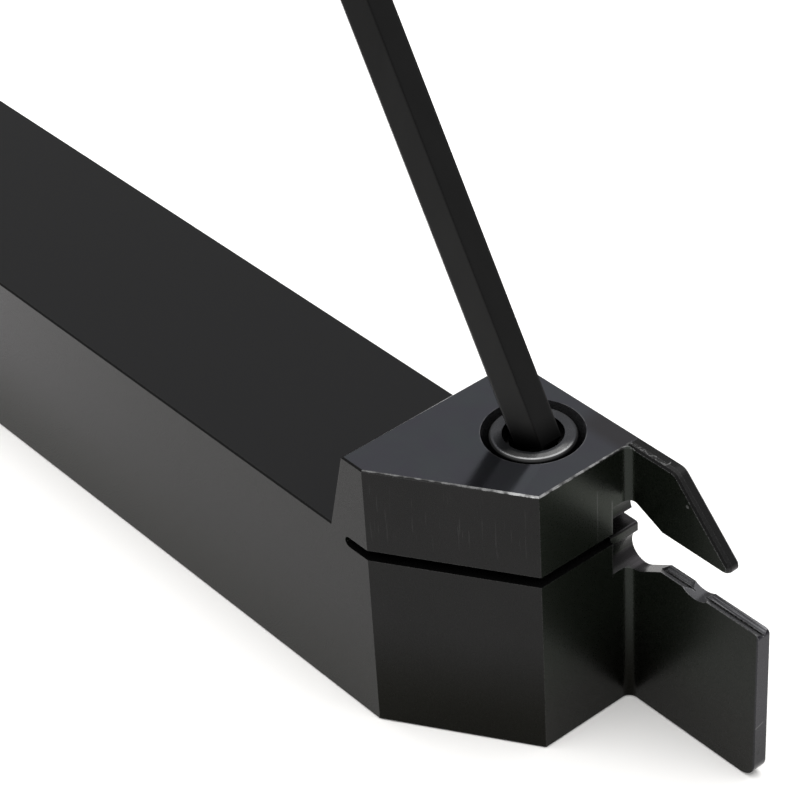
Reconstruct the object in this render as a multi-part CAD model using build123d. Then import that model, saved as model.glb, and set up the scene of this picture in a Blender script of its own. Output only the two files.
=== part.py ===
"""Right-hand parting tool holder with a spring-slot clamp, its clamp screw, and the key left in the screw.

Millimetres. +X runs along the tool to the end of the blade, +Y to the side that the blade is flush with,
+Z up. The origin is the middle of the shank's base face.
"""
from build123d import *
from math import asin, atan2, cos, hypot, radians, sin, tan
import os

# ---- shank, head and blade ----
shank_width = 25.0
shank_height = 25.0
overall_length = 150.0
head_length = 22.4            # foot of the step behind the head to the head's front face
head_rise = 10.7              # head's top above the shank's top
step_run = 2.7                # how far the sloping step behind the head leans forward
corner_cut_length = 16.4      # vertical cut across the near front corner, along X
corner_cut_width = 10.4       # the same cut, along Y
blade_reach = 19.4            # head's front face to the end of the lower jaw
blade_thickness = 1.7
blade_root_radius = 1.1       # fillet between the head's front face and the blade
blade_base_radius = 2.2       # lower front corner of the blade
shank_edge = 0.2              # chamfer on the shank's upper edges
shank_end_edge = 1.0          # chamfer round the back end
head_edge = 0.2               # chamfer round the head's top

# ---- insert pocket, cut from the flush side ----
edge_above_seat = 4.1         # an insert's edge is level with the shank's top
insert_room = 5.65            # seat edges to land edges, with no insert in
pocket_reach_in_head = 2.4    # along Y, past the blade's near face
seat_length = 14.5            # V seat, from the blade's end back to the relief
seat_groove_depth = 0.4
seat_groove_runout = 1.0
seat_relief_width = 0.2       # narrow groove along the bottom of the V seat
seat_relief_depth = 0.06
seat_end_radius = 0.6
land_setback = 5.1            # head's front face to the back end of the upper V land
land_ridge_depth = 0.4
relief_radius = 2.1           # round reliefs behind the seat and behind the land
lower_relief_ahead = 0.85     # relief centres, ahead of the head's front face
upper_relief_ahead = 0.6
lower_relief_rise = 0.05      # centre above the seat
upper_relief_drop = 0.25      # centre below the land
stop_setback = 0.35           # stop face, behind the head's front face
stop_rise = 3.0               # stop's top above the seat
stop_length = 2.4
stop_gap = 1.45               # room over the stop
stop_radius = 0.3
scoop_setback = 9.4           # blade's end to the middle of the scoop across the seat
scoop_radius = 2.8
scoop_depth = 0.55            # at the middle of the blade
scoop_lean = 8.0              # degrees: the scoop is deeper on the near side

# ---- upper jaw's nose ----
jaw_reach = 16.0              # head's front face to where the nose slope would meet the land's ridge
nose_angle = 46.5             # degrees below level
nose_radius = 0.85
nose_top_radius = 1.6
nose_edge = 0.4               # chamfer on the slope's near edge

# ---- spring slot ----
slot_drop = 0.6               # slot's floor below the stop's top
slot_height = 1.4
hinge_length = 2.25           # steel between the slot's closed end and the foot of the step

# ---- clamp screw, M6 x 20 cap head ----
screw_setback = 8.7           # screw axis, behind the head's front face
screw_offset = 5.1            # screw axis, from the tool's centre plane to the flush side
thread_diameter = 6.0
screw_length = 20.0
screw_head_diameter = 10.0
screw_head_height = 6.0
screw_head_round = 0.6
screw_tip_chamfer = 0.8
head_below_face = 0.15        # screw's head under the holder's top
counterbore_clearance = 0.7   # radial, round the screw's head
passage_clearance = 0.2       # radial, screw through the upper steel
thread_fit = 0.05             # radial, screw in its tapped hole
hole_spare = 2.0              # hole left under the screw's end
drill_half_angle = 59.0       # degrees, point of a drilled hole

# ---- key and its socket ----
key_width = 5.0               # across the flats
key_lean = 30.0               # degrees off the screw's axis, back along the shank
key_long_arm = 80.0           # outside sizes of the bent key
key_short_arm = 28.0
key_bend_radius = 7.5         # at the key's centre line
key_end_chamfer = 0.3
key_swing = 1.0               # degrees: the lean turned from straight back towards the flush side
key_offset = 0.15             # key's axis from the screw's, towards the flush side
socket_fit = 0.05             # socket wider than the key, across the flats
socket_mouth_clearance = 0.1  # radial, round the leaning key
socket_mouth_spare = 0.35     # round mouth below the key's side corners
socket_bottom_spare = 1.5     # socket below the key's lowest corner

# ---- places worked out from the sizes above ----
past = 5.0                    # how far a cutting shape runs past the steel
head_height = shank_height + head_rise
shank_length = overall_length - head_length - blade_reach
back_x = -shank_length / 2
step_x = shank_length / 2
front_x = step_x + head_length
tip_x = front_x + blade_reach
near_y = -shank_width / 2
flush_y = shank_width / 2
blade_y = flush_y - blade_thickness
blade_middle_y = flush_y - blade_thickness / 2
seat_z = shank_height - edge_above_seat
land_z = seat_z + insert_room
ridge_z = land_z - land_ridge_depth
stop_x = front_x - stop_setback
stop_z = seat_z + stop_rise
slot_z = stop_z - slot_drop
screw_x = front_x - screw_setback
screw_top = head_height - head_below_face
screw_seat = screw_top - screw_head_height
screw_end = screw_seat - screw_length
key_foot = key_width / 2 * tan(radians(key_lean))
socket_mouth_radius = socket_mouth_clearance + hypot(
    key_width / 2 / cos(radians(key_lean)),
    key_width / 2 * tan(radians(30)) + key_offset,
)
socket_mouth_depth = key_width / 2 * sin(radians(key_lean)) + socket_mouth_spare
socket_depth = key_width * sin(radians(key_lean)) + socket_bottom_spare


def outline(points):
    """A closed face in the plane of X and Z."""
    return make_face(Plane.XZ * Polyline(points, close=True))


def across(face, low_y, high_y):
    """A face in the plane of X and Z, extruded from one Y to another."""
    return Pos(0, low_y, 0) * extrude(face, amount=high_y - low_y, dir=(0, 1, 0))


def along(points, low_x, high_x):
    """A closed outline of Y and Z, extruded from one X to another."""
    face = make_face(Plane.YZ * Polyline(points, close=True))
    return Pos(low_x, 0, 0) * extrude(face, amount=high_x - low_x, dir=(1, 0, 0))


def upright(radius, x, y, low_z, high_z):
    """A vertical cylinder between two heights."""
    return Pos(x, y, low_z) * extrude(Circle(radius), amount=high_z - low_z)


def tangent_point(centre, radius, point, side):
    """Where a line from the point touches the circle; side is +1 or -1."""
    bearing = atan2(point[1] - centre[1], point[0] - centre[0])
    distance = hypot(point[0] - centre[0], point[1] - centre[1])
    angle = bearing + side * (radians(90) - asin(radius / distance))
    return (centre[0] + radius * cos(angle), centre[1] + radius * sin(angle))


def shank_and_head():
    """The square shank and the taller head, with the near front corner cut off."""
    points = [
        (back_x, 0),
        (front_x, 0),
        (front_x, head_height),
        (step_x + step_run, head_height),
        (step_x, shank_height),
        (back_x, shank_height),
    ]
    block = across(outline(points), near_y, flush_y)
    block = chamfer(block.faces().sort_by(Axis.X)[0].edges(), shank_end_edge)
    shank_top = block.faces().filter_by(Axis.Z).sort_by(Axis.Z)[1]
    block = chamfer(shank_top.edges().filter_by(Axis.X), shank_edge)
    corner = [
        (front_x + past, near_y - past),
        (front_x + past, near_y + corner_cut_width * (1 + past / corner_cut_length)),
        (front_x - corner_cut_length - past * corner_cut_length / corner_cut_width, near_y - past),
    ]
    return block - extrude(make_face(Polyline(corner, close=True)), amount=head_height)


def lower_jaw():
    """The blade's lower plate, under the insert."""
    plate = outline([(screw_x, 0), (tip_x, 0), (tip_x, seat_z), (screw_x, seat_z)])
    base_corner, seat_corner = plate.vertices().group_by(Axis.X)[-1].sort_by(Axis.Z)
    plate = fillet(base_corner, blade_base_radius)
    plate = fillet(plate.vertices().group_by(Axis.Z)[-1].sort_by(Axis.X)[-1], seat_end_radius)
    return across(plate, blade_y, flush_y)


def upper_jaw():
    """The blade's upper plate, which springs down on the insert."""
    nose_x = front_x + jaw_reach
    slope_top_x = nose_x - (head_height - ridge_z) / tan(radians(nose_angle))
    points = [(screw_x, ridge_z), (nose_x, ridge_z), (slope_top_x, head_height), (screw_x, head_height)]
    plate = outline(points)
    plate = fillet(plate.vertices().sort_by(Axis.X)[-1], nose_radius)
    plate = fillet(plate.vertices().group_by(Axis.Z)[-1].sort_by(Axis.X)[-1], nose_top_radius)
    jaw = across(plate, blade_y, flush_y)
    near_edges = jaw.edges().group_by(Axis.Y)[0].filter_by(GeomType.LINE)
    slope_edge = [edge for edge in near_edges if abs(edge.tangent_at(0).X * edge.tangent_at(0).Z) > 0.1]
    return chamfer(slope_edge, nose_edge)


def blade_root():
    """The hollow fillet where the blade's near face meets the head's front face."""
    corner = Pos(front_x, blade_y) * Rectangle(
        blade_root_radius, blade_root_radius, align=(Align.MIN, Align.MAX)
    )
    hollow = Pos(front_x + blade_root_radius, blade_y - blade_root_radius) * Circle(blade_root_radius)
    return extrude(corner - hollow, amount=head_height)


def insert_stop():
    """The square stop at the back of the pocket, standing above the slot's floor."""
    stop_back = stop_x - stop_length
    block = outline([(stop_back, seat_z), (stop_x, seat_z), (stop_x, stop_z), (stop_back, stop_z)])
    block = fillet(block.vertices().group_by(Axis.Z)[-1].sort_by(Axis.X)[-1], stop_radius)
    return across(block, blade_y - pocket_reach_in_head, flush_y)


def pocket_space():
    """The insert pocket between the jaws, with its two round reliefs and the gap over the stop."""
    seat_back = (tip_x - seat_length, seat_z)
    land_back = (front_x + land_setback, land_z)
    lower = (front_x + lower_relief_ahead, seat_z + lower_relief_rise)
    upper = (front_x + upper_relief_ahead, land_z - upper_relief_drop)
    points = [
        seat_back,
        (tip_x + past, seat_z),
        (tip_x + past, ridge_z),
        (land_back[0], ridge_z),
        land_back,
        tangent_point(upper, relief_radius, land_back, 1),
        upper,
        (stop_x, upper[1]),
        (stop_x, lower[1]),
        lower,
        tangent_point(lower, relief_radius, seat_back, -1),
    ]
    face = outline(points)
    for x, z in (lower, upper):
        face += Plane.XZ * Pos(x, z) * Circle(relief_radius)
    gap_back = stop_x - stop_length
    gap_top = stop_z + stop_gap
    return face + outline([(gap_back, stop_z), (front_x, stop_z), (front_x, gap_top), (gap_back, gap_top)])


def vee(point_z, depth, toward):
    """Outline in Y and Z of a V twice as wide as the blade, filled above (+1) or below (-1) its lines."""
    side_z = point_z + 2 * depth
    open_z = point_z + toward * insert_room / 2
    low_y = blade_middle_y - blade_thickness
    high_y = blade_middle_y + blade_thickness
    return [(blade_middle_y, point_z), (high_y, side_z), (high_y, open_z), (low_y, open_z), (low_y, side_z)]


def seat_relief():
    """The narrow groove that keeps an insert's edge off the bottom of the V seat."""
    bottom = seat_z - seat_groove_depth - seat_relief_depth
    low_y = blade_middle_y - seat_relief_width / 2
    high_y = blade_middle_y + seat_relief_width / 2
    points = [(low_y, bottom), (high_y, bottom), (high_y, seat_z), (low_y, seat_z)]
    return along(points, tip_x - seat_length, tip_x + past)


def seat_scoop():
    """The shallow scoop across the middle of the seat, leaning so that its near side is deeper."""
    axis_z = seat_z - scoop_depth + scoop_radius / cos(radians(scoop_lean))
    place = Pos(tip_x - scoop_setback, blade_middle_y, axis_z) * Rot(scoop_lean, 0, 0)
    roller = place * Cylinder(scoop_radius, 4 * blade_thickness, rotation=(90, 0, 0))
    room = Pos(tip_x - scoop_setback, blade_middle_y, seat_z) * Box(
        4 * scoop_radius, 4 * blade_thickness, insert_room
    )
    return roller & room


def slot_space():
    """The spring slot through the head, with a round closed end."""
    half = slot_height / 2
    end_x = step_x + hinge_length + half
    open_x = front_x + past
    top_z = slot_z + slot_height
    face = outline([(end_x, slot_z), (open_x, slot_z), (open_x, top_z), (end_x, top_z)])
    face += Plane.XZ * Pos(end_x, slot_z + half) * Circle(half)
    return across(face, near_y - past, flush_y + past)


def screw_hole():
    """Counterbore, clear hole through the upper steel and tapped hole below the slot."""
    head_room = screw_head_diameter / 2 + counterbore_clearance
    clear = thread_diameter / 2 + passage_clearance
    tapped = thread_diameter / 2 + thread_fit
    hole_end = screw_end - hole_spare
    point_length = tapped / tan(radians(drill_half_angle))
    space = upright(head_room, screw_x, screw_offset, screw_seat, head_height + past)
    space += upright(clear, screw_x, screw_offset, slot_z + slot_height / 2, screw_seat)
    space += upright(tapped, screw_x, screw_offset, hole_end, slot_z + slot_height / 2)
    point = Cone(0.01, tapped, point_length, align=(Align.CENTER, Align.CENTER, Align.MAX))
    return space + Pos(screw_x, screw_offset, hole_end) * point


def make_holder_body():
    """The one-piece steel holder."""
    body = shank_and_head() + lower_jaw() + upper_jaw() + blade_root()
    body = chamfer(body.faces().sort_by(Axis.Z)[-1].edges(), head_edge)
    body = body - slot_space() + insert_stop()
    body -= across(pocket_space(), blade_y - pocket_reach_in_head, flush_y + past)
    seat_back = tip_x - seat_length - seat_groove_runout
    body -= along(vee(seat_z - seat_groove_depth, seat_groove_depth, 1), seat_back, tip_x + past)
    body -= along(vee(ridge_z, land_ridge_depth, -1), front_x + land_setback, front_x + jaw_reach + past)
    return body - seat_relief() - seat_scoop() - screw_hole()


def socket_space():
    """The round mouth, six-sided socket and drilled point in the screw's head."""
    across_flats = key_width + socket_fit
    six_sides = RegularPolygon(across_flats / 2, 6, major_radius=False, rotation=30)
    space = Pos(0, 0, -socket_depth) * extrude(six_sides, amount=socket_depth)
    space += upright(socket_mouth_radius, 0, 0, -socket_mouth_depth, past)
    point_length = across_flats / 2 / tan(radians(drill_half_angle))
    point = Cone(0.01, across_flats / 2, point_length, align=(Align.CENTER, Align.CENTER, Align.MAX))
    return space + Pos(0, 0, -socket_depth) * point


def make_clamp_screw():
    """Cap-head clamp screw, in place, with its thread left as a plain shaft."""
    head = extrude(Circle(screw_head_diameter / 2), amount=screw_head_height)
    head = fillet(head.faces().sort_by(Axis.Z)[-1].edges(), screw_head_round)
    shaft = Pos(0, 0, -screw_length) * extrude(Circle(thread_diameter / 2), amount=screw_length)
    shaft = chamfer(shaft.faces().sort_by(Axis.Z)[0].edges(), screw_tip_chamfer)
    screw = head + shaft - Pos(0, 0, screw_head_height) * socket_space()
    return Pos(screw_x, screw_offset, screw_seat) * screw


def make_hex_key():
    """The bent six-sided key, leaning in the mouth of the screw's socket."""
    top = key_long_arm - key_width / 2
    elbow = top - key_bend_radius
    reach = key_short_arm - key_width / 2
    section = RegularPolygon(key_width / 2, 6, major_radius=False, rotation=30)
    path = Polyline([(0, 0, 0), (0, 0, top), (-reach, 0, top)])
    path = fillet(path.vertices().sort_by(Axis.Z)[1:].sort_by(Axis.X)[-1], key_bend_radius)
    key = sweep(section, path=path)
    ends = [key.faces().sort_by(Axis.Z)[0], key.faces().sort_by(Axis.X)[0]]
    key = chamfer([edge for face in ends for edge in face.edges()], key_end_chamfer)
    socket = Pos(screw_x, screw_offset + key_offset, screw_top)
    return socket * Rot(0, 0, -key_swing) * Rot(0, -key_lean, 0) * Pos(0, 0, -key_foot) * key


os.makedirs("parts", exist_ok=True)
export_step(make_holder_body(), "parts/holder_body.step")
export_step(make_clamp_screw(), "parts/clamp_screw.step")
export_step(make_hex_key(), "parts/hex_key.step")
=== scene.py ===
from collections import namedtuple

import bpy
from mathutils import Matrix, Vector

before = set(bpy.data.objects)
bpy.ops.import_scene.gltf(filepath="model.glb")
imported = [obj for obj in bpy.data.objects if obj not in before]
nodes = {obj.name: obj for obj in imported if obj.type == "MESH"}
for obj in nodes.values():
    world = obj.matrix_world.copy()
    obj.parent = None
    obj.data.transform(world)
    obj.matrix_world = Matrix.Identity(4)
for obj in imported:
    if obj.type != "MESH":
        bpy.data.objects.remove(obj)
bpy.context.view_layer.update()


# Holder: shank, head, blade and both jaws, milled from one bar of tool steel.
# Blackened all over after milling. The sides stay fine-milled, the shank's top is
# ground dull, and the head's top is polished by handling and shines blue-grey.

# Its sizes in millimetres: X to the blade's end, Y to the flush side, Z up.
shank_height = 25.0
head_height = 35.7
head_front = 76.5
blade_end = 95.9
blade_near = 10.8
seat_height = 20.9
seat_back = 81.4
scoop_middle = 86.5
pocket_side = 8.4             # where the pocket ends inside the head
pocket_floor, pocket_roof = 18.7, 27.0
screw_axis = (67.8, 5.1, 0)
corner_cut_way = (0.5355, -0.8445)

Spot = namedtuple("Spot", "place x y z nx ny nz")


def new_finish(name):
    """A material with one steel shader, and its node tree."""
    finish = bpy.data.materials.new(name)
    finish.use_nodes = True
    return finish, finish.node_tree


def put(tree, kind, **settings):
    """A node of that kind with its options set."""
    node = tree.nodes.new("ShaderNode" + kind)
    for option, value in settings.items():
        setattr(node, option, value)
    return node


def feed(tree, socket, value):
    """A socket takes a number or colour, or is linked to another socket."""
    if isinstance(value, bpy.types.NodeSocket):
        tree.links.new(value, socket)
    else:
        socket.default_value = value


def sums(tree, operation, *values):
    """One step of arithmetic on numbers or sockets."""
    node = put(tree, "Math", operation=operation)
    for socket, value in zip(node.inputs, values):
        feed(tree, socket, value)
    return node.outputs[0]


def weighed(tree, first, first_share, second, second_share):
    """A share of one number plus a share of another."""
    return sums(tree, "ADD", sums(tree, "MULTIPLY", first, first_share),
                sums(tree, "MULTIPLY", second, second_share))


def away_from(tree, value, middle):
    """How far a number is from the middle, either way."""
    return sums(tree, "ABSOLUTE", sums(tree, "SUBTRACT", value, middle))


def rises(tree, value, low, high):
    """0 below low, 1 above high, smooth between. Low may be the larger one."""
    node = put(tree, "MapRange", interpolation_type="SMOOTHSTEP")
    feed(tree, node.inputs["Value"], value)
    node.inputs["From Min"].default_value = low
    node.inputs["From Max"].default_value = high
    return node.outputs["Result"]


def both(tree, *masks):
    """1 only where all the masks are 1. A plain number makes a mask weaker."""
    total = masks[0]
    for mask in masks[1:]:
        total = sums(tree, "MULTIPLY", total, mask)
    return total


def between(tree, value, low, high, soft):
    """1 from low to high, fading to 0 over soft on either side."""
    return both(tree, rises(tree, value, low - soft, low), rises(tree, value, high + soft, high))


def blend(tree, amount, under, over):
    """A number that goes from under to over with amount."""
    node = put(tree, "Mix", data_type="FLOAT")
    feed(tree, node.inputs[0], amount)
    feed(tree, node.inputs[2], under)
    feed(tree, node.inputs[3], over)
    return node.outputs[0]


def grey(level):
    return (level, level, level)


def tint(tree, amount, under, over):
    """A colour that goes from under to over with amount."""
    node = put(tree, "Mix", data_type="RGBA")
    feed(tree, node.inputs[0], amount)
    for socket, colour in ((node.inputs[6], under), (node.inputs[7], over)):
        feed(tree, socket, colour if isinstance(colour, bpy.types.NodeSocket) else (*colour, 1))
    return node.outputs[2]


def place_mm(tree):
    """The point on the piece in millimetres, whole and by axis, and the way that it faces."""
    coordinates = put(tree, "TexCoord")
    scaled = put(tree, "VectorMath", operation="SCALE")
    feed(tree, scaled.inputs[0], coordinates.outputs["Object"])
    scaled.inputs["Scale"].default_value = 1000
    parts = put(tree, "SeparateXYZ")
    feed(tree, parts.inputs[0], scaled.outputs[0])
    way = put(tree, "SeparateXYZ")
    feed(tree, way.inputs[0], coordinates.outputs["Normal"])
    return Spot(scaled.outputs[0], *parts.outputs, *way.outputs)


def grain(tree, at, scale, detail, stretch=(1, 1, 1)):
    """Noise over the place in millimetres, squeezed by stretch along x, y and z."""
    mapping = put(tree, "Mapping")
    feed(tree, mapping.inputs["Vector"], at.place)
    mapping.inputs["Scale"].default_value = stretch
    noise = put(tree, "TexNoise")
    feed(tree, noise.inputs["Vector"], mapping.outputs[0])
    noise.inputs["Scale"].default_value = scale
    noise.inputs["Detail"].default_value = detail
    return noise.outputs["Fac"]


def distance(tree, at, point, counted=(1, 1, 1)):
    """How far the place is from the point, each axis counted by its share."""
    offset = put(tree, "VectorMath", operation="SUBTRACT")
    feed(tree, offset.inputs[0], at.place)
    offset.inputs[1].default_value = point
    kept = put(tree, "VectorMath", operation="MULTIPLY")
    feed(tree, kept.inputs[0], offset.outputs[0])
    kept.inputs[1].default_value = counted
    length = put(tree, "VectorMath", operation="LENGTH")
    feed(tree, length.inputs[0], kept.outputs[0])
    return length.outputs["Value"]


def rounded_way(tree, radius_mm):
    """The way that the surface would face with its edges rounded."""
    rounded = put(tree, "Bevel", samples=6)
    rounded.inputs["Radius"].default_value = radius_mm / 1000
    return rounded.outputs[0]


def worn_edge(tree, radius_mm):
    """1 on a sharp edge, fading to 0 that far from it."""
    flat = put(tree, "NewGeometry")
    likeness = put(tree, "VectorMath", operation="DOT_PRODUCT")
    feed(tree, likeness.inputs[0], rounded_way(tree, radius_mm))
    feed(tree, likeness.inputs[1], flat.outputs["Normal"])
    return rises(tree, likeness.outputs["Value"], 0.999, 0.88)


def surface(tree, colour, rough, metal, height, depth_mm):
    """The steel shader's colour, roughness, metal share and bump."""
    steel = tree.nodes["Principled BSDF"]
    steel.inputs["Specular IOR Level"].default_value = 0.25
    feed(tree, steel.inputs["Base Color"], colour)
    feed(tree, steel.inputs["Roughness"], rough)
    feed(tree, steel.inputs["Metallic"], metal)
    bump = put(tree, "Bump")
    bump.inputs["Strength"].default_value = 1.0
    bump.inputs["Distance"].default_value = depth_mm / 1000
    feed(tree, bump.inputs["Height"], height)
    feed(tree, steel.inputs["Normal"], bump.outputs[0])


def holder_tops(tree, at):
    """The head's rubbed top, the jaw's dull top and the shank's ground top."""
    facing_up = rises(tree, at.nz, 0.9, 0.97)
    high = both(tree, facing_up, rises(tree, at.z, head_height - 5.7, head_height - 4.7))
    behind_front, past_front = head_front - 0.2, head_front + 0.1
    head_top = both(tree, high, rises(tree, at.x, past_front, behind_front))
    jaw_top = both(tree, high, rises(tree, at.x, behind_front, past_front))
    shank_top = both(tree, facing_up, between(tree, at.z, shank_height - 0.5, shank_height + 0.5, 0.3),
                     rises(tree, at.x, 58, 57))
    return head_top, jaw_top, shank_top


def corner_scratches(tree, at):
    """Upright scratches on the upper part of the corner cut."""
    on_cut = rises(tree, weighed(tree, at.nx, corner_cut_way[0], at.ny, corner_cut_way[1]), 0.97, 0.99)
    lines = rises(tree, grain(tree, at, 1.0, 2, stretch=(4, 4, 0.25)), 0.62, 0.74)
    return both(tree, on_cut, lines, between(tree, at.z, 28, 32.5, 2.5))


def pocket_walls(tree, at):
    """The insert pocket's walls, from the seat round to the jaw."""
    across = rises(tree, away_from(tree, at.ny, 0), 0.55, 0.45)
    return both(tree, rises(tree, at.y, pocket_side - 0.1, pocket_side + 0.05),
                rises(tree, at.x, head_front - 2.9, head_front - 2.7), across,
                between(tree, at.z, pocket_floor, pocket_roof, 0.1),
                rises(tree, at.x, blade_end - 0.1, blade_end - 0.4))


def seat_marks(tree, at, pocket):
    """The V seat, the lines ground along it, its smooth scoop, and painted shade along its bottom groove."""
    seat = both(tree, pocket, rises(tree, at.x, seat_back - 0.2, seat_back + 0.1),
                rises(tree, at.z, seat_height + 0.3, seat_height + 0.1), rises(tree, at.nz, 0.6, 0.7))
    lines = rises(tree, grain(tree, at, 1.0, 2, stretch=(0.1, 7, 7)), 0.4, 0.6)
    from_scoop = away_from(tree, at.x, scoop_middle)
    scooped = both(tree, pocket, rises(tree, from_scoop, 1.8, 1.3),
                   rises(tree, at.z, seat_height + 0.1, seat_height - 0.1),
                   rises(tree, at.z, seat_height - 1.4, seat_height - 1.1))
    from_bottom = away_from(tree, at.y, blade_near + 0.82)
    groove = both(tree, seat, rises(tree, from_bottom, 0.19, 0.12),
                  rises(tree, at.z, seat_height - 0.24, seat_height - 0.29),
                  rises(tree, from_scoop, 1.2, 1.5))
    return seat, lines, scooped, groove


def rubbed_rim(tree, at, patches):
    """The bright ragged rim of the head's top, thinner away from the front corner."""
    front_corner = (head_front - 0.1, -2.0, head_height - 0.1)
    from_corner = distance(tree, at, front_corner)
    ragged = weighed(tree, at.z, 1, patches, 0.2)
    ragged = weighed(tree, ragged, 1, rises(tree, from_corner, 2, 14), -0.09)
    rim = both(tree, rises(tree, ragged, head_height - 0.12, head_height - 0.06),
               rises(tree, at.nz, 0.93, 0.8), rises(tree, at.nz, 0.2, 0.4),
               rises(tree, at.nx, 0.15, 0.3), rises(tree, at.x, head_front + 0.9, head_front + 0.5))
    strength = blend(tree, rises(tree, from_corner, 7, 0.3), 0.1, 0.34)
    front_rim = both(tree, rises(tree, at.nx, 0.6, 0.68), between(tree, at.y, 3.5, 8.6, 1.0))
    strength = blend(tree, front_rim, strength, 0.32)
    patchy = blend(tree, rises(tree, patches, 0.35, 0.6), 0.35, 1.0)
    return both(tree, rim, both(tree, strength, patchy))


def rubbed_edges(tree, at, specks):
    """Worn edges: faint all round, stronger on the upper jaw and along the seat."""
    edge = both(tree, worn_edge(tree, 0.15), rises(tree, specks, 0.35, 0.6))
    upper_jaw = both(tree, rises(tree, at.x, head_front + 0.3, head_front + 0.7), rises(tree, at.z, 26, 26.4))
    seat_edge = both(tree, rises(tree, at.x, seat_back - 0.4, seat_back + 0.1),
                     between(tree, at.z, seat_height - 0.5, seat_height + 0.3, 0.1))
    return both(tree, edge, blend(tree, seat_edge, blend(tree, upper_jaw, 0.03, 0.26), 0.15))


def knocks(tree, at, jaw_top):
    """A hooked scratch and a chip on the upper jaw, and a nick across the blade's end."""
    hook_middle = (81.4, 11.55, 0)
    chip_place = (85.3, 10.9, 32.25)
    from_hook = distance(tree, at, hook_middle, counted=(1, 1, 0))
    hook = both(tree, jaw_top, between(tree, from_hook, 0.44, 0.5, 0.06), rises(tree, at.x, 81.0, 81.2),
                rises(tree, at.y, 11.9, 11.7))
    chip = rises(tree, distance(tree, at, chip_place), 0.3, 0.15)
    slant = weighed(tree, at.z, 1, at.y, -0.31)
    nick = both(tree, rises(tree, at.x, blade_end - 0.1, blade_end - 0.05),
                between(tree, slant, 4.2, 4.28, 0.07), rises(tree, at.y, 12.1, 11.8), 0.35)
    return sums(tree, "ADD", hook, sums(tree, "ADD", chip, nick))


def bare_metal(tree, at, jaw_top, specks, patches):
    """How much bare steel shows, from 0 to 1, with faint painted highlights on two edges of the front face.
    """
    bare = sums(tree, "MAXIMUM", rubbed_rim(tree, at, patches), rubbed_edges(tree, at, specks))
    inward = weighed(tree, at.y, 1, patches, 1.3)
    jaw_wear = both(tree, jaw_top, between(tree, inward, 11.78, 11.86, 0.08), rises(tree, at.x, 81.8, 81.5),
                    rises(tree, specks, 0.4, 0.55))
    front = both(tree, rises(tree, at.nx, 0.95, 0.98),
                 between(tree, at.x, head_front - 0.2, head_front + 0.2, 0.05))
    # Painted highlight: faint light lines on the front face along a step's edge and along the pocket's edge,
    # the latter partly wear.
    step_edge_highlight = both(tree, front, between(tree, at.y, 6.15, 6.2, 0.06), between(tree, at.z, 25.5, 31, 1.5))
    pocket_edge = both(tree, front, between(tree, at.y, pocket_side - 0.12, pocket_side, 0.08),
                       between(tree, at.z, pocket_floor + 0.2, 29, 0.5))
    for mark, strength in ((jaw_wear, 0.2), (knocks(tree, at, jaw_top), 0.16),
                           (sums(tree, "ADD", step_edge_highlight, pocket_edge), 0.03)):
        bare = sums(tree, "MAXIMUM", bare, both(tree, mark, strength))
    return bare


def oxide(tree, at, shank_top, clouds):
    """The black oxide: neutral outside, a little green round the blade; painted light along the near side and
    on the blade's root, painted shade by the floor, on the blade's near side and at its end's foot.
    """
    plain, cloudy = grey(0.009), (0.0125, 0.0123, 0.0123)
    side_shade_by_head, side_light_by_end = (0.0045, 0.0042, 0.0045), (0.042, 0.04, 0.044)
    ground = (0.009, 0.009, 0.0095)
    greenish, blade_side_green_shade = (0.0095, 0.0125, 0.0085), (0.004, 0.0055, 0.0035)
    root_painted_highlight = (0.0165, 0.019, 0.0165)
    floor_shade = (0.0025, 0.0024, 0.001)
    end_black, end_foot_shade = (0.019, 0.0185, 0.0225), (0.0095, 0.0093, 0.0115)
    pit_black = (0.003, 0.003, 0.004)
    slope_black = grey(0.0155)

    # Painted light: the near side is painted from dark by the head to light at the shank's end, standing in
    # for its reflection.
    near_side_painted_light = tint(tree, rises(tree, at.x, 30, -60), side_shade_by_head, side_light_by_end)
    blade_side = both(tree, rises(tree, at.ny, -0.8, -0.95),
                      rises(tree, at.x, head_front + 0.1, head_front + 0.5))
    inner = sums(tree, "MAXIMUM", rises(tree, at.nx, 0.93, 0.97), blade_side)
    inner = both(tree, inner, rises(tree, at.x, blade_end - 0.2, blade_end - 0.6))
    blade_root = both(tree, between(tree, at.x, head_front + 0.1, head_front + 0.8, 0.05),
                      between(tree, at.y, blade_near - 0.9, blade_near - 0.1, 0.05))
    end_face = rises(tree, at.x, blade_end - 0.4, blade_end - 0.1)
    pit_place = (blade_end, 11.29, 3.75)
    pit = rises(tree, distance(tree, at, pit_place, counted=(1, 1, 0.7)), 0.24, 0.14)
    nose_slope = both(tree, rises(tree, at.x, 80, 84), rises(tree, at.z, 25.5, 26.5),
                      rises(tree, at.nx, 0.6, 0.68))

    black = tint(tree, clouds, plain, cloudy)
    for patch, over in (
        (rises(tree, at.ny, -0.9, -0.97), near_side_painted_light),
        (shank_top, ground),
        (inner, greenish),
        # Painted shade: the blade's near side is painted darker, with a green tint.
        (both(tree, blade_side, rises(tree, at.x, 82, 94)), blade_side_green_shade),
        # Painted highlight: the fillet strip at the blade's root is painted lighter.
        (blade_root, root_painted_highlight),
        # Painted shade: the holder is painted darker towards the floor.
        (rises(tree, at.z, 16, 2), floor_shade),
        (end_face, end_black),
        # Painted shade: the blade's end face is painted darker towards its foot.
        (both(tree, end_face, rises(tree, at.z, 11, 3)), end_foot_shade),
        (pit, pit_black),
        (nose_slope, slope_black),
    ):
        black = tint(tree, patch, black, over)
    return black


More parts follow.
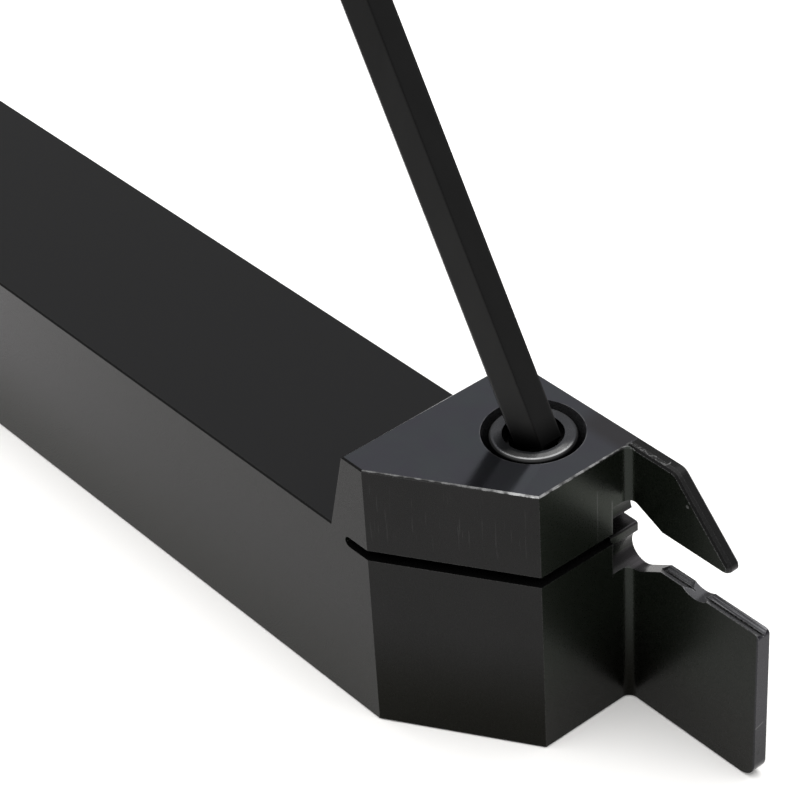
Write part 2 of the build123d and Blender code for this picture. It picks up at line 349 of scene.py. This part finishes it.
def blackened_holder():
    """Every patch of the holder's finish, from the oxide up to the bare metal."""
    finish, tree = new_finish("holder_black_oxide")
    at = place_mm(tree)
    clouds = grain(tree, at, 0.12, 4)
    specks = grain(tree, at, 6.0, 4)
    patches = grain(tree, at, 1.1, 3)
    head_top, jaw_top, shank_top = holder_tops(tree, at)
    scratched = corner_scratches(tree, at)
    pocket = pocket_walls(tree, at)
    milled = both(tree, pocket, grain(tree, at, 1.0, 2, stretch=(5, 0.2, 5)), rises(tree, at.y, 9.3, 12.0))
    seat, seat_lines, scooped, groove_painted_shade = seat_marks(tree, at, pocket)
    bare = bare_metal(tree, at, jaw_top, specks, patches)

    from_screw = distance(tree, at, screw_axis, counted=(1, 1, 0))
    bored_wall = both(tree, rises(tree, from_screw, 6, 5.9), rises(tree, at.z, 29, 29.5),
                      rises(tree, at.nz, 0.5, 0.4))
    bore_rim = both(tree, head_top, between(tree, from_screw, 5.7, 5.76, 0.06),
                    rises(tree, patches, 0.4, 0.6))
    turned_steel = (0.16, 0.16, 0.17)

    mottle = rises(tree, grain(tree, at, 0.3, 3), 0.35, 0.65)
    polished = tint(tree, mottle, (0.076, 0.0745, 0.091), (0.076, 0.085, 0.092))
    polished = tint(tree, clouds, polished, (0.091, 0.093, 0.105))
    # Painted shade: a patch of the head's top by the flush side, ahead of the screw, is painted darker.
    flush_side_shade = both(tree, head_top, rises(tree, at.y, 8.6, 10.4), rises(tree, at.x, 68.5, 71.5))

    colour = tint(tree, bored_wall, oxide(tree, at, shank_top, clouds), turned_steel)
    for patch, over in (
        (head_top, polished),
        (flush_side_shade, (0.067, 0.065, 0.07)),
        (milled, (0.034, 0.031, 0.034)),
        (seat, tint(tree, seat_lines, (0.035, 0.035, 0.038), (0.13, 0.13, 0.136))),
        (scooped, (0.046, 0.046, 0.049)),
        # Painted shade: the groove along the seat's bottom is painted black.
        (groove_painted_shade, grey(0)),
        (bore_rim, turned_steel),
        (both(tree, scratched, 0.5), grey(0.028)),
        (bare, grey(1)),
    ):
        colour = tint(tree, patch, colour, over)

    rough = blend(tree, specks, 0.24, 0.32)
    rough = blend(tree, head_top, rough, blend(tree, specks, 0.09, 0.12))
    rough = blend(tree, shank_top, rough, blend(tree, specks, 0.40, 0.48))
    rough = blend(tree, groove_painted_shade, rough, 1.0)
    metal = blend(tree, sums(tree, "MAXIMUM", head_top, bare), 0.8, 1.0)
    height = sums(tree, "ADD", specks, sums(tree, "ADD", scratched, milled))
    surface(tree, colour, rough, metal, height, depth_mm=0.002)
    return finish


def dress(node, finish):
    """The finish goes on every face of a CAD piece."""
    for slot in node.material_slots:
        slot.material = finish


dress(nodes["holder_body"], blackened_holder())


# Clamp screw: a socket-head screw of hardened steel, turned and blackened.
# Its round-edged head sits in the counterbore, just below the head's top. The turned ring round its socket
# carries a painted highlight on its front side.
def blackened_screw():
    """Dull black, with a brighter turned ring on the head's top and a painted highlight on its front side."""
    finish, tree = new_finish("screw_black_oxide")
    at = place_mm(tree)
    specks = grain(tree, at, 5.0, 4)
    clouds = grain(tree, at, 0.5, 3)
    radius = distance(tree, at, screw_axis, counted=(1, 1, 0))
    ring_inner, ring_outer = 3.9, 4.55
    top = both(tree, rises(tree, at.nz, 0.3, 0.6), rises(tree, at.z, head_height - 1.7, head_height - 1.2))
    towards_front = weighed(tree, at.x, 0.84, at.y, -0.545)
    # Painted highlight: a bright sector on the ring's front side.
    ring_painted_highlight = both(tree, top, between(tree, radius, ring_inner, ring_outer, 0.3),
                 rises(tree, towards_front, 56.2, 57.6))
    colour = tint(tree, specks, grey(0.018), grey(0.028))
    colour = tint(tree, top, colour, tint(tree, clouds, (0.036, 0.037, 0.041), (0.066, 0.067, 0.071)))
    colour = tint(tree, ring_painted_highlight, colour, tint(tree, clouds, grey(0.1), grey(0.3)))
    colour = tint(tree, rises(tree, radius, ring_outer, ring_outer + 0.15), colour, grey(0.016))
    rough = blend(tree, specks, 0.22, 0.3)
    surface(tree, colour, rough, 1.0, specks, depth_mm=0.0008)
    return finish


dress(nodes["clamp_screw"], blackened_screw())


# Hex key: drawn hexagon bar of alloy steel, bent and blackened smooth.
# It only rests in the screw's socket. Its corners are drawn slightly round. A painted sheen makes them and
# the faces seen at a slant lighter, and painted shade makes the flats seen face on darker.
def blackened_key():
    """Even black, lighter where the bar turns away as a painted sheen, with painted shade down in the socket.
    """
    finish, tree = new_finish("key_black_oxide")
    at = place_mm(tree)
    clouds = grain(tree, at, 0.3, 4, stretch=(1, 1, 0.2))
    specks = grain(tree, at, 5.0, 4)
    glancing = put(tree, "LayerWeight")
    feed(tree, glancing.inputs["Normal"], rounded_way(tree, 0.4))
    facing = glancing.outputs["Facing"]
    colour = tint(tree, clouds, grey(0.0165), grey(0.022))
    # Painted shade on flats seen face on, and painted sheen where the bar turns away.
    colour = tint(tree, rises(tree, facing, 0.12, 0.03), colour, grey(0.011))
    colour = tint(tree, rises(tree, facing, 0.2, 0.4), colour, grey(0.05))
    # Painted shade: the bar is painted near black down in the socket.
    socket_shade = rises(tree, at.z, head_height + 2.8, head_height - 0.4)
    colour = tint(tree, socket_shade, colour, grey(0.002))
    rough = blend(tree, specks, 0.28, 0.38)
    surface(tree, colour, rough, 1.0, specks, depth_mm=0.002)
    return finish


dress(nodes["hex_key"], blackened_key())


# Studio: a plain white floor, a big soft lamp overhead and a weaker one beyond the
# blade, in a dim even room. The camera looks down on the head.
floor_size = 6
floor_drop = 0.0002           # keeps the floor clear of the holder's base
room_strength = 0.6
lamp_aim = (0.05, 0, 0)
camera_place = (0.24913, -0.15616, 0.22357)
camera_right = (0.64957, 0.75855, -0.05160)
camera_up = (-0.43094, 0.42324, 0.79697)
camera_ahead = (-0.62638, 0.49545, -0.60181)

bpy.ops.object.select_all(action="DESELECT")
bpy.ops.mesh.primitive_plane_add(size=floor_size, location=(0, 0, -floor_drop))
floor = bpy.context.object
floor.name = "studio_floor"
paper, paper_tree = new_finish("floor_paper")
paper_shader = paper_tree.nodes["Principled BSDF"]
paper_shader.inputs["Base Color"].default_value = (0.96, 0.95, 0.935, 1)
paper_shader.inputs["Roughness"].default_value = 0.9
floor.data.materials.append(paper)

room = bpy.data.worlds.new("studio_room")
bpy.context.scene.world = room
room.use_nodes = True
room_light = room.node_tree.nodes["Background"]
room_light.inputs["Color"].default_value = (1, 1, 1, 1)
room_light.inputs["Strength"].default_value = room_strength


def soft_lamp(name, place, size, power):
    """A round lamp that faces the middle of the holder."""
    bpy.ops.object.light_add(type="AREA", location=place)
    lamp = bpy.context.object
    lamp.name = name
    lamp.data.shape = "DISK"
    lamp.data.size = size
    lamp.data.energy = power
    lamp.rotation_euler = (Vector(lamp_aim) - Vector(place)).to_track_quat("-Z", "Y").to_euler()


soft_lamp("lamp_overhead", (0.05, 0, 1.5), 3.0, 49)
soft_lamp("lamp_side", (1.6, 1.0, 0.9), 1.6, 0.4)

bpy.ops.object.camera_add()
camera = bpy.context.object
turn = Matrix((camera_right, camera_up, [-a for a in camera_ahead])).transposed().to_4x4()
camera.matrix_world = Matrix.Translation(camera_place) @ turn
camera.data.sensor_fit = "HORIZONTAL"
camera.data.sensor_width = 36
camera.data.lens = 129.13
camera.data.clip_start = 0.01
camera.data.dof.use_dof = False
bpy.context.scene.camera = camera
bpy.context.scene.view_settings.view_transform = "Standard"
